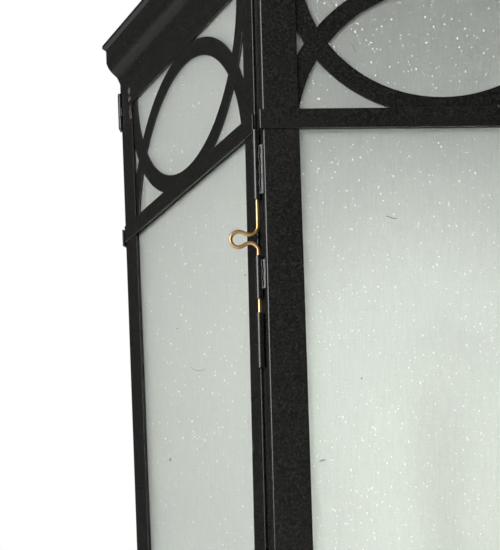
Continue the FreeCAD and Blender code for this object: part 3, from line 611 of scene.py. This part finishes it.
@dataclass
class SheetMetal:
    """Steel plates and strips whose arrises are rounded by the coat.

    Each is its CAD node's own mesh, merged, with a bevel on every sharp arris.
    The rolled ones have their full radius only on outer arrises at a corner.
    """

    arris: dict[str, float]
    rolled: frozenset[str]
    coat: bpy.types.Material
    sharp: float = math.radians(35.0)
    flat: float = math.radians(0.3)
    join_mm: float = 0.002
    segments: int = 3
    inner_share: float = 0.15
    upright_share: float = 0.7
    facing_share: float = 0.9
    corner_reach: float = math.radians(4.0)
    sector: float = math.radians(60.0)

    def at_corner(self, place: Vector) -> bool:
        """Whether a place is near one of the body's corners, which stand every 60 degrees."""
        half = 0.5 * self.sector
        return abs((math.atan2(place.y, place.x) + half) % self.sector - half) < self.corner_reach

    def outside(self, face: bmesh.types.BMFace) -> bool:
        """Whether a face looks out of the body.

        The body has six sides, so the outward direction at a place is its
        azimuth rounded to the nearest 60 degrees from the front.

        Args:
            face: the face.

        Returns:
            True if its normal is close to that direction.
        """
        middle = face.calc_center_median()
        front = -0.5 * math.pi
        turn = front + round((math.atan2(middle.y, middle.x) - front) / self.sector) * self.sector
        return face.normal.dot(Vector((math.cos(turn), math.sin(turn), 0.0))) > self.facing_share

    def weigh(self, work: bmesh.types.BMesh) -> None:
        """Give outer arrises at the corners the full radius and the others a small share.

        Args:
            work: the piece's mesh, with its sharp edges marked.
        """
        layer = work.edges.layers.float.new("bevel_weight_edge")
        for edge in work.edges:
            if not edge.smooth:
                first, second = (end.co for end in edge.verts)
                run = second - first
                upright = abs(run.z) > self.upright_share * run.length
                cornered = upright and self.at_corner((first + second) / 2.0)
                full = cornered and any(self.outside(face) for face in edge.link_faces)
                edge[layer] = 1.0 if full else self.inner_share

    def rounded(self, node: str, radius: float) -> bpy.types.Object:
        """A merged copy of a node with rounded arrises.

        Args:
            node: the CAD node's name.
            radius: the arris radius, or 0 for none.

        Returns:
            The new piece, which stands for the node.
        """
        source = frame["nodes"][node]
        mesh = source.data.copy()
        mesh.name = node + "_coated"
        work = bmesh.new()
        work.from_mesh(mesh)
        bmesh.ops.remove_doubles(work, verts=work.verts, dist=self.join_mm * MM)
        bmesh.ops.dissolve_limit(
            work, angle_limit=self.flat, use_dissolve_boundaries=False, verts=work.verts, edges=work.edges
        )
        for edge in work.edges:
            edge.smooth = len(edge.link_faces) == 2 and edge.calc_face_angle(0.0) < self.sharp
        for face in work.faces:
            face.smooth = True
        if node in self.rolled:
            self.weigh(work)
        work.to_mesh(mesh)
        work.free()
        mesh.materials.clear()
        mesh.materials.append(self.coat)
        piece = bpy.data.objects.new(node + "_coated", mesh)
        bpy.context.scene.collection.objects.link(piece)
        if radius > 0.0:
            bevel = piece.modifiers.new("arris", "BEVEL")
            bevel.width = radius * MM
            bevel.segments = self.segments
            bevel.limit_method = "WEIGHT" if node in self.rolled else "ANGLE"
            bevel.angle_limit = self.sharp
            bevel.harden_normals = True
        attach(piece, source["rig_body"])
        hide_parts(node)
        return piece

    def build(self, slots: dict[str, str]) -> None:
        """Make every plate and strip.

        Args:
            slots: the material slot of each CAD node; not used.
        """
        for node, radius in self.arris.items():
            piece = self.rounded(node, radius)
            LOG.info("%s: arris %.2f mm", piece.name, radius)


@dataclass
class Seeds:
    """Bubbles that stand as low domes on the outer side of the panes.

    A dome is a cap over an ellipse: its height falls with the square of the
    distance from the middle, and it is longer up the sheet than across. Small
    domes are many and large ones few: the size is a power of a random share.
    """

    plan: FacePlan
    glass: bpy.types.Material
    rings: int = 2
    sides: int = 6
    per_square_cm: float = 3.0
    door_share: float = 0.45
    small_mm: float = 0.22
    large_mm: float = 0.52
    power: float = 2.5
    length: Span = (1.0, 1.9)
    rise: float = 0.42
    sink_mm: float = 0.03
    edge: float = 26.5
    panes: tuple[Span, ...] = ((-318.0, -1.5), (15.0, 105.0))
    seed: int = 11

    def domes(self, face: int, pane: Span, random: np.random.Generator) -> Mesh:
        """All the domes of one pane.

        Args:
            face: the face's number.
            pane: the lower and upper end of the pane's open part.
            random: the source of chance.

        Returns:
            Points and triangles.
        """
        low, high = pane
        half = self.plan.half_width((low + high) / 2.0) - self.edge
        share = self.door_share if self.plan.is_door(face) else 1.0
        count = int(self.per_square_cm * share * 2.0 * half * (high - low) / 100.0)
        v = random.uniform(low, high, count)
        u = random.uniform(-1.0, 1.0, count) * (self.plan.half_width(v) - self.edge)
        radius = self.small_mm + (self.large_mm - self.small_mm) * random.random(count) ** self.power
        long = random.uniform(*self.length, count)
        step = np.arange(1, self.rings + 1) / self.rings
        turn = np.linspace(0.0, 2.0 * math.pi, self.sides, endpoint=False)
        flat_u = (step[:, None] * np.cos(turn)).ravel()
        flat_v = (step[:, None] * np.sin(turn)).ravel()
        lift = np.repeat(1.0 - step**2, self.sides)
        flat_u, flat_v, lift = (np.concatenate([[0.0], row, [0.0]]) for row in (flat_u, flat_v, lift))
        lift[0] = 1.0
        across = u[:, None] + radius[:, None] * flat_u
        along = v[:, None] + (radius * long)[:, None] * flat_v
        foot = self.plan.glass_depth(face) + self.sink_mm
        inwards = foot - (radius * self.rise)[:, None] * lift
        inwards[:, -1] = foot
        points = self.plan.place(across, along, inwards, face).reshape(-1, 3)
        return points, self.dome_faces(count)

    def dome_faces(self, count: int) -> np.ndarray:
        """Triangles of every dome: a cap fan, the rings, and a flat foot.

        Args:
            count: how many domes.

        Returns:
            (m, 3) point numbers.
        """
        j = np.arange(self.sides)
        k = (j + 1) % self.sides
        cap = np.stack([np.zeros_like(j), 1 + j, 1 + k], axis=-1)
        rows = []
        for ring in range(self.rings - 1):
            a, b = 1 + ring * self.sides + j, 1 + ring * self.sides + k
            rows.append(np.stack([a, a + self.sides, b + self.sides], axis=-1))
            rows.append(np.stack([a, b + self.sides, b], axis=-1))
        last = 1 + (self.rings - 1) * self.sides
        foot = np.stack([np.full_like(j, last + self.sides), last + k, last + j], axis=-1)
        one = np.concatenate([cap, *rows, foot])
        size = 2 + self.rings * self.sides
        return (one[None] + (np.arange(count) * size)[:, None, None]).reshape(-1, 3)

    def build(self) -> None:
        """Make the seeds of every face, one piece for each face."""
        random = np.random.default_rng(self.seed)
        for face in range(6):
            points, faces = join([self.domes(face, pane, random) for pane in self.panes])
            piece = make_object(f"seeds_face_{face}", points, faces, self.glass)
            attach(piece, self.plan.body(face))
            LOG.info("%s: %d triangles", piece.name, len(faces))


@dataclass(frozen=True)
class Mark:
    """A dark thread or stone in a pane: its face, its radius, and points (u, v) along it."""

    face: int
    radius: float
    line: tuple[Span, ...]


@dataclass
class GlassMarks:
    """Dark threads and stones that the drawing left at the sheet's outer surface.

    Each is a tube along a smooth curve through its points: u and v are
    polynomials of the share of the way, of third degree at most. The radius
    follows the square root of a half wave, so both ends close to nothing.
    """

    plan: FacePlan
    stone: bpy.types.Material
    rings: int = 24
    sides: int = 8
    degree: int = 3
    tip_mm: float = 0.01
    marks: tuple[Mark, ...] = (
        Mark(
            5,
            0.16,
            ((-6.0, -119.0), (-5.1, -121.9), (-2.3, -124.4), (3.7, -126.9), (11.5, -129.0), (17.4, -129.3)),
        ),
        Mark(5, 0.6, ((81.1, -85.3), (81.9, -86.0))),
        Mark(5, 0.75, ((-42.7, -175.5), (-44.8, -177.4))),
        Mark(5, 0.45, ((-25.6, -89.2), (-26.6, -89.8))),
        Mark(0, 0.25, ((-36.3, -56.7), (-34.0, -57.2), (-31.0, -58.2), (-28.7, -57.7))),
        Mark(0, 0.22, ((-58.1, 61.9), (-57.3, 59.4), (-56.1, 56.5), (-54.9, 54.2), (-53.7, 53.0))),
        Mark(0, 0.45, ((-75.5, -208.6), (-71.6, -207.4))),
        Mark(0, 0.5, ((-50.1, -158.2), (-50.9, -158.8))),
    )

    def tube(self, mark: Mark) -> Mesh:
        """The points and triangles of one mark.

        Args:
            mark: the mark.

        Returns:
            Points and triangles.
        """
        given = np.array(mark.line)
        share = np.linspace(0.0, 1.0, self.rings)
        steps = np.linspace(0.0, 1.0, len(given))
        degree = min(self.degree, len(given) - 1)
        u, v = (np.polyval(np.polyfit(steps, given[:, k], degree), share) for k in (0, 1))
        radius = mark.radius * np.sqrt(np.clip(np.sin(math.pi * share), 0.0, 1.0)) + self.tip_mm
        return carry(self.plan.place(u, v, self.plan.glass_depth(mark.face), mark.face), radius, self.sides)

    def build(self) -> None:
        """Make the marks, one piece for each face that has any."""
        for face in sorted({mark.face for mark in self.marks}):
            points, faces = join([self.tube(mark) for mark in self.marks if mark.face == face])
            piece = make_object(f"glass_marks_{face}", points, faces, self.stone)
            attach(piece, self.plan.body(face))
            LOG.info("%s: %d triangles", piece.name, len(faces))


@dataclass
class LatchPin:
    """The drawn wire that locks the door, with its finger loop.

    Points stand closer together at the two ends, where the wire is rounded.
    """

    plan: FacePlan
    brass: bpy.types.Material
    corner: float = 3.9
    proud: float = 0.8
    wire_r: float = 1.2
    top_v: float = -26.0
    loop_v: float = -70.6
    foot_v: float = -131.0
    neck_r: float = 5.2
    neck_half: float = 2.75
    bulb_r: float = 5.0
    tip_out: float = 17.0
    sides: int = 24
    line_points: tuple[int, int, int] = (60, 28, 26)
    point_mm: float = 0.5
    end_steps: tuple[float, ...] = (0.0, 0.12, 0.4, 0.9)
    end_room: float = 1.4
    tip_share: float = 0.04

    def half_line(self) -> np.ndarray:
        """The upper half of the wire's line, as (out, up) from the loop's level.

        It runs straight down, round an arc of neck_r to the slope, straight to
        the bulb, and round an arc of bulb_r to the tip.

        Returns:
            (n, 2) points.
        """
        rise = self.neck_half + self.neck_r
        reach = self.tip_out - self.bulb_r - self.neck_r
        slope = math.asin((self.neck_r + self.bulb_r) / math.hypot(reach, rise)) - math.atan2(rise, reach)
        high = self.top_v - self.loop_v
        many, some, few = self.line_points
        straight = np.stack([np.zeros(many), np.linspace(high, rise, many)], axis=-1)
        turn = np.linspace(math.pi, 1.5 * math.pi + slope, some)
        neck = np.array([self.neck_r, rise]) + self.neck_r * np.stack([np.cos(turn), np.sin(turn)], axis=-1)
        turn = np.linspace(0.5 * math.pi + slope, 0.0, few)
        middle = np.array([self.tip_out - self.bulb_r, 0.0])
        bulb = middle + self.bulb_r * np.stack([np.cos(turn), np.sin(turn)], axis=-1)
        return np.concatenate([straight, neck[1:], bulb])

    def line(self) -> np.ndarray:
        """The whole wire's line on the body.

        The lower half is the upper half mirrored at the loop's level and cut
        at the foot. Up is along the corner, and out is the next face's normal
        made square to it.

        Returns:
            (n, 3) points.
        """
        door = self.plan.door_face
        levels = np.array([self.loop_v, self.loop_v + 1.0])
        start, above = self.plan.at_corner(self.corner, -self.proud, levels, 1, door)
        up = (above - start) / np.linalg.norm(above - start)
        face_out = self.plan.place(-0.5, 0.0, -math.sqrt(0.75), door) - self.plan.place(0.0, 0.0, 0.0, door)
        out = face_out - up * (face_out @ up)
        out /= np.linalg.norm(out)
        upper = self.half_line()
        lower = upper[::-1][1:] * np.array([1.0, -1.0])
        lower = lower[lower[:, 1] > self.foot_v - self.loop_v]
        lower = np.concatenate([lower, [[0.0, self.foot_v - self.loop_v]]])
        flat = np.concatenate([upper, lower])
        return start + flat[:, :1] * out + flat[:, 1:] * up

    def build(self) -> None:
        """Make the wire, its two ends rounded off."""
        path = self.line()
        run = np.concatenate([[0.0], np.cumsum(np.linalg.norm(np.diff(path, axis=0), axis=1))])
        length = run[-1]
        ends = np.array(self.end_steps)
        middle = np.arange(self.end_room, length - self.end_room, self.point_mm)
        even = np.concatenate([ends, middle, length - ends[::-1]])
        path = np.stack([np.interp(even, run, path[:, k]) for k in range(3)], axis=-1)
        share = np.clip(np.minimum(even, length - even) / ends[-1], 0.0, 1.0)
        radius = self.wire_r * np.sqrt(np.clip(1.0 - (1.0 - share) ** 2, self.tip_share, 1.0))
        points, faces = carry(path, radius, self.sides)
        piece = make_object("latch_wire", points, faces, self.brass)
        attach(piece, "latch_pin")
        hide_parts("latch_pin")
        LOG.info("latch_wire: %.0f mm of wire", length)


class Seam(Enum):
    """What a bead joins: (corner distance, depth, body)."""

    to_frame = (1.45, 0.3, "lantern")
    to_door = (5.9, -0.45, "door")
    plug_low = (22.4, 0.0, "door")
    plug_high = (21.2, 0.0, "door")


@dataclass
class WeldBeads:
    """Rippled beads that hold the latch tubes and hinge knuckles, and plug welds.

    A bead is a rod whose radius swells once for each drop of weld, as the
    square root of a half wave, and closes to nothing at both ends. It sways a
    little from side to side, as the sum of two sines.
    """

    plan: FacePlan
    coat: bpy.types.Material
    radius: float = 0.72
    drop_mm: float = 1.5
    swell: Span = (0.72, 0.28)
    jitter: float = 0.06
    phase: float = 3.0
    tapers: Span = (5.0, 1.6)
    tip_mm: float = 0.02
    sway: tuple[Span, ...] = ((0.22, 9.0), (0.12, 3.7))
    sides: int = 10
    step_mm: float = 0.2
    hinge_v: tuple[float, ...] = (-290.0, 107.5)
    knuckle: float = 9.0
    space: float = 0.4
    set_in: float = 1.0
    plug_rows: tuple[float, ...] = (-1.5, -0.5, 0.6, 1.6)
    seed: int = 5
    placed: tuple[tuple[float, float, int, Seam], ...] = (
        (-42.2, -10.1, 1, Seam.to_frame),
        (-103.0, -84.8, 1, Seam.to_frame),
        (-148.0, -122.0, 1, Seam.to_door),
        (109.5, 114.5, -1, Seam.plug_high),
        (115.5, 121.5, -1, Seam.plug_high),
        (94.5, 106.5, -1, Seam.plug_low),
    )

    def bead(
        self, low: float, high: float, side: int, seam: Seam, aside: float, random: np.random.Generator
    ) -> Mesh:
        """One bead along a corner.

        Args:
            low: lower end.
            high: upper end.
            side: 1 for the latch corner, -1 for the hinge corner.
            seam: what it joins.
            aside: how much further from the corner than the seam.
            random: the source of chance.

        Returns:
            Points and triangles.
        """
        corner, depth, _ = seam.value
        v = np.arange(low, high, self.step_mm)
        path = self.plan.at_corner(corner + aside, depth, v, side, self.plan.door_face)
        wave = np.abs(np.sin(math.pi * (v - low) / self.drop_mm + random.uniform(0.0, self.phase)))
        least, more = self.swell
        swell = least + more * np.sqrt(wave) + self.jitter * random.standard_normal(len(v))
        start, finish = self.tapers
        end = np.clip(np.minimum((v - low) / start, (high - v) / finish), 0.0, 1.0)
        radius = self.radius * swell * np.sqrt(1.0 - (1.0 - end) ** 2) + self.tip_mm
        sway = sum(size * np.sin(2.0 * math.pi * (v - low) / length) for size, length in self.sway)
        path = path + sway[:, None] * np.array([1.0, 0.0, 0.0])
        return carry(path, radius, self.sides)

    def spans(self) -> list[tuple[float, float, int, Seam]]:
        """Every bead: lower end, upper end, side and seam.

        Returns:
            The placed beads, then one on each hinge knuckle.
        """
        found = list(self.placed)
        reach = self.knuckle / 2.0 - self.set_in
        for middle in self.hinge_v:
            for step, seam in ((-1, Seam.to_frame), (0, Seam.to_door), (1, Seam.to_frame)):
                centre = middle + step * (self.knuckle + self.space)
                found.append((centre - reach, centre + reach, -1, seam))
        return found

    def build(self) -> None:
        """Make the beads, joined by the seam. A plug weld is several rows of them."""
        random = np.random.default_rng(self.seed)
        for seam in Seam:
            rows = self.plug_rows if seam in (Seam.plug_low, Seam.plug_high) else (0.0,)
            spans = [span for span in self.spans() if span[-1] is seam]
            parts = [self.bead(*span, aside, random) for span in spans for aside in rows]
            points, faces = join(parts)
            piece = make_object(f"weld_beads_{seam.name}", points, faces, self.coat)
            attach(piece, seam.value[2])
            LOG.info("%s: %d beads", piece.name, len(parts))


# --- camera, floor and light ---------------------------------------------------


@dataclass(frozen=True)
class SoftBox:
    """A soft box: its place and aim in metres, its width and height, and its watts."""

    name: str
    place: Triple
    aim: Triple
    size: Span
    watts: float

    def build(self) -> None:
        """Hang it, turned to its aim and hidden from the camera."""
        data = bpy.data.lights.new(self.name, "AREA")
        data.shape = "RECTANGLE"
        data.size, data.size_y = self.size
        data.energy = self.watts
        light = bpy.data.objects.new(self.name, data)
        light.visible_camera = False
        way = (Vector(self.aim) - Vector(self.place)).to_track_quat("-Z", "Y")
        light.matrix_world = Matrix.Translation(Vector(self.place)) @ way.to_matrix().to_4x4()
        bpy.context.scene.collection.objects.link(light)


@dataclass(frozen=True)
class Surround:
    """The studio round the lantern, by what meets it.

    The camera sees it white and gloss sees it dim, as between dark flags. Glass
    sees it through a screen behind the lantern, bright low down: strength goes
    over fall_strength as the direction's Z goes over fall, and is full where
    its Y is past the screen's upper end.
    """

    colour: str = "#FFFFFF"
    fall: Span = (-0.05, 0.5)
    fall_strength: Span = (15.0, 0.3)
    screen: Span = (0.66, 0.96)
    aside: float = 0.18
    gloss: float = 0.06
    matt: float = 0.5

    def build(self) -> None:
        """Make the world."""
        world = bpy.data.worlds.new("studio")
        bpy.context.scene.world = world
        world.use_nodes = True
        tree = world.node_tree
        tree.nodes.clear()
        ray = add_node(tree, "ShaderNodeLightPath").outputs
        way = add_node(tree, "ShaderNodeTexCoord").outputs["Generated"]
        axis = add_node(tree, "ShaderNodeSeparateXYZ", links={"Vector": way}).outputs
        fall = remap(tree, axis["Z"], self.fall, self.fall_strength)
        screen = remap(tree, axis["Y"], self.screen, (self.aside, 1.0), "SMOOTHSTEP")
        seen = maths(tree, "MULTIPLY", screen, ray["Is Transmission Ray"])
        through = maths(tree, "MULTIPLY_ADD", fall, seen, self.gloss)
        matt = maths(tree, "MULTIPLY_ADD", ray["Is Diffuse Ray"], self.matt, through)
        strength = maths(tree, "MAXIMUM", ray["Is Camera Ray"], matt)
        back = add_node(tree, "ShaderNodeBackground", {"Color": linear(self.colour)}, {"Strength": strength})
        add_node(tree, "ShaderNodeOutputWorld", links={"Surface": back.outputs[0]})


@dataclass(frozen=True)
class Studio:
    """The photograph's viewpoint, a pale floor and soft light."""

    yaw: float = -4.803
    pitch: float = 20.321
    roll: float = 1.554
    stand: Triple = (-0.03925, -1.13368, 0.04496)
    focal_px: float = 1656.05
    long_side_px: float = 550.0
    sensor_mm: float = 36.0
    clip: Span = (0.01, 50.0)
    floor_half: float = 6000.0
    floor_z: float = -1.0
    floor_cloud_mm: float = 400.0
    floor_colours: tuple[str, str] = ("#E9E9E8", "#EFEFEE")
    floor_roughness: float = 0.7
    boxes: tuple[SoftBox, ...] = (
        SoftBox("box_left", (-1.46, -1.40, 0.95), (-0.1, -0.15, 0.5), (1.4, 1.1), 42.0),
        SoftBox("box_top", (0.3, -0.6, 2.6), (0.0, 0.0, 0.6), (1.6, 1.6), 8.0),
        SoftBox("box_back", (1.7, 1.3, 1.1), (0.0, 0.0, 0.5), (1.1, 1.1), 16.0),
    )

    def camera(self) -> None:
        """Set the camera where the photograph was taken.

        Forward is turned by yaw from +Y and raised by pitch. Right and up are
        then turned about it by roll. The focal length in pixels goes to
        millimetres by the sensor's width over the long side's pixels.
        """
        yaw, pitch, roll = (math.radians(angle) for angle in (self.yaw, self.pitch, self.roll))
        level = math.cos(pitch)
        forward = Vector((math.sin(yaw) * level, math.cos(yaw) * level, math.sin(pitch)))
        right = Vector((math.cos(yaw), -math.sin(yaw), 0.0))
        up = right.cross(forward)
        rolled_right = right * math.cos(roll) + up * math.sin(roll)
        rolled_up = up * math.cos(roll) - right * math.sin(roll)
        data = bpy.data.cameras.new("camera")
        data.sensor_width = self.sensor_mm
        data.lens = self.focal_px * self.sensor_mm / self.long_side_px
        data.clip_start, data.clip_end = self.clip
        camera = bpy.data.objects.new("camera", data)
        turn = Matrix((rolled_right, rolled_up, -forward)).transposed().to_4x4()
        camera.matrix_world = Matrix.Translation(Vector(self.stand)) @ turn
        bpy.context.scene.collection.objects.link(camera)
        bpy.context.scene.camera = camera

    def floor(self) -> None:
        """Lay the pale floor under the post cup."""
        corners = ((-1.0, -1.0), (1.0, -1.0), (1.0, 1.0), (-1.0, 1.0))
        points = np.array([[x * self.floor_half, y * self.floor_half, self.floor_z] for x, y in corners])
        material, tree, shader = new_material("pale_floor")
        cloud = noise(tree, object_pattern(tree), self.floor_cloud_mm, detail=2.0)
        colour = blend(tree, cloud, *self.floor_colours)
        feed(tree, shader, {"Base Color": colour, "Roughness": self.floor_roughness})
        make_object("floor", points, np.array([[0, 1, 2, 3]]), material, False)

    def build(self) -> None:
        """Set up everything round the lantern."""
        self.camera()
        self.floor()
        Surround().build()
        for box in self.boxes:
            box.build()
        bpy.context.scene.view_settings.view_transform = "Standard"


# --- assembly ------------------------------------------------------------------

# The radius on each node's arrises. Those with none are merged and smoothed only.
ARRIS_MM = {
    "stiles": 1.35,
    "band_straps": 1.1,
    "tracery_plates": 0.35,
    "head_rails": 0.4,
    "sill_rails": 0.4,
    "door_frame": 1.0,
    "door_band_strap": 0.45,
    "door_tracery_plate": 0.35,
    "cornice_lengths": 0.5,
    "corner_angles": 0.0,
    "hip_ribs": 0.6,
    "roof_panels": 0.4,
    "vent_collar": 0.4,
    "vent_cap": 0.5,
    "base_pan": 0.5,
    "base_plate": 0.5,
    "post_cup": 0.5,
    "latch_tubes": 0.0,
    "latch_keeper": 0.0,
    "frame_knuckles": 0.0,
    "door_knuckles": 0.0,
    "finial": 0.0,
    "cup_screws": 0.0,
    "eave_screws": 0.0,
    "cluster_hub": 0.3,
    "cluster_arms": 0.0,
    "drip_dishes": 0.3,
}
ROLLED = frozenset({"stiles", "door_frame", "band_straps"})


def dress(slots: dict[str, str], coats: dict[str, bpy.types.Material]) -> None:
    """Give every CAD node its slot's finish.

    Args:
        slots: the material slot of each node.
        coats: the finish of each slot.
    """
    for name, node in frame["nodes"].items():
        if not node.material_slots:
            node.data.materials.append(coats[slots[name]])
        for slot in node.material_slots:
            slot.material = coats[slots[name]]
        LOG.info("%s: %s", name, coats[slots[name]].name)


def main() -> None:
    """Build the studio and every piece, in order."""
    logging.basicConfig(level=logging.INFO, format="%(name)s %(message)s", force=True)
    plan = FacePlan()
    slots = {part["node"]: part["material_slot"] for part in frame["record"]["subparts"]}
    coats = {coat.name: coat.value.build() for coat in Coat}
    Studio().build()
    dress(slots, coats)
    SheetMetal(ARRIS_MM, ROLLED, coats["black_coat"]).build(slots)
    Seeds(plan, SeedGlass().build()).build()
    stone = Moulding("grey_glass_inclusion", "#858A84", "#757A74", 0.5)
    GlassMarks(plan, stone.build()).build()
    LatchPin(plan, coats["brass_wire"]).build()
    WeldBeads(plan, coats["black_coat"]).build()


if __name__ == "__main__":
    main()
